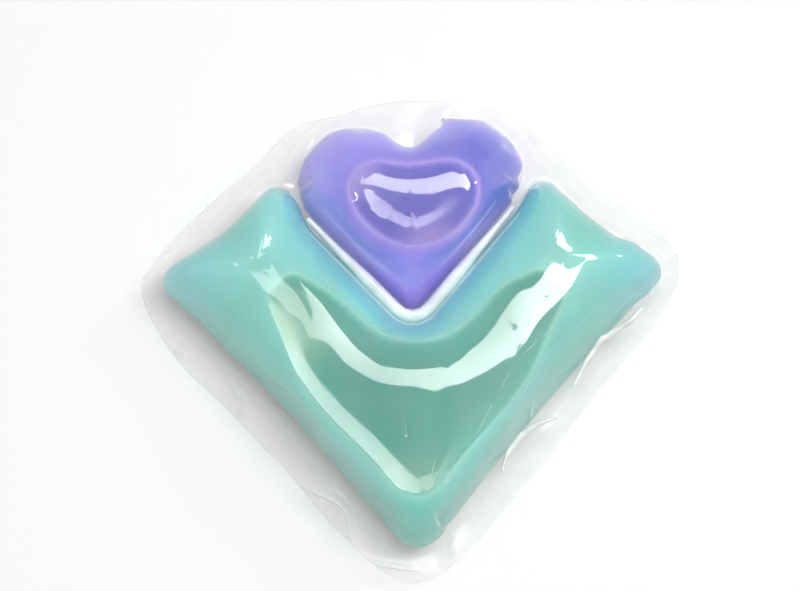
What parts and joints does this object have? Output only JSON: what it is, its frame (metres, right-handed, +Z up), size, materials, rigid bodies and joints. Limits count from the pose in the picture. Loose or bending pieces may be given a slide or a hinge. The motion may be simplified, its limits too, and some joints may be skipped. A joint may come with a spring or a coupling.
{
  "type": "laundry detergent capsule",
  "caption": "Single-dose laundry capsule: a V of liquid with a heart of liquid in its notch, sealed between clear films with a loose wavy skirt.",
  "frame": {"origin": "centre of the footprint, on the surface that the capsule lies on", "axes": "+Z up through the domes; -Y towards the tip of the V; +X to the right when seen with the heart away from the viewer"},
  "size_m": [0.0492, 0.045, 0.0123],
  "materials": {
    "top_film": "clear glossy water-soluble film, formed over the chambers",
    "base_film": "clear glossy water-soluble film",
    "teal_liquid": "slightly cloudy teal liquid detergent",
    "violet_liquid": "slightly cloudy violet liquid detergent"
  },
  "bodies": {
    "root": {"top_film": "top_film", "base_film": "base_film", "teal_liquid": "teal_liquid", "violet_liquid": "violet_liquid"}
  },
  "joints": []
}
